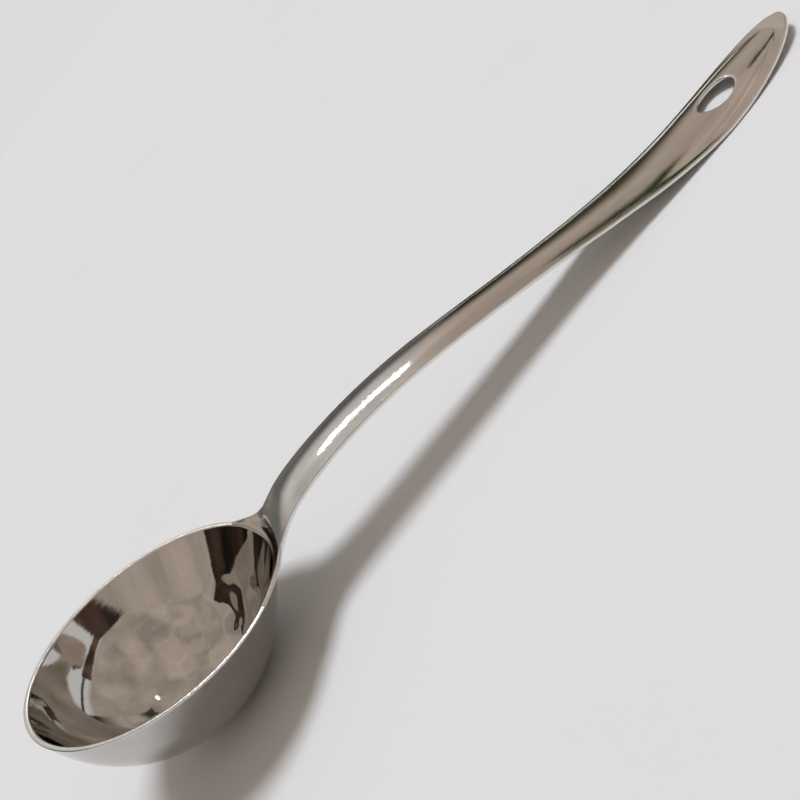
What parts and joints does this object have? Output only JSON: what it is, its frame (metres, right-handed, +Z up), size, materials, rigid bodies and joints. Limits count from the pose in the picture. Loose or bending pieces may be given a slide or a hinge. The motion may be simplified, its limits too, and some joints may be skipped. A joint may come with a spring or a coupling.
{
  "type": "ladle",
  "caption": "Polished stainless-steel serving ladle lying on its bowl and handle end, with a flared root, raised handle spine and hanging hole.",
  "frame": {"origin": "on the table, under the middle of the ladle's bounding box as it lies put down", "axes": "+Z up from the table, +X along the handle from the bowl to the tip, Y across, symmetric about the XZ plane"},
  "size_m": [0.2954, 0.0858, 0.049],
  "materials": {
    "bowl_steel": "mirror polished inside, satin outside",
    "handle_steel": "mirror polished"
  },
  "bodies": {
    "root": {"bowl": "bowl_steel", "handle": "handle_steel"}
  },
  "joints": []
}
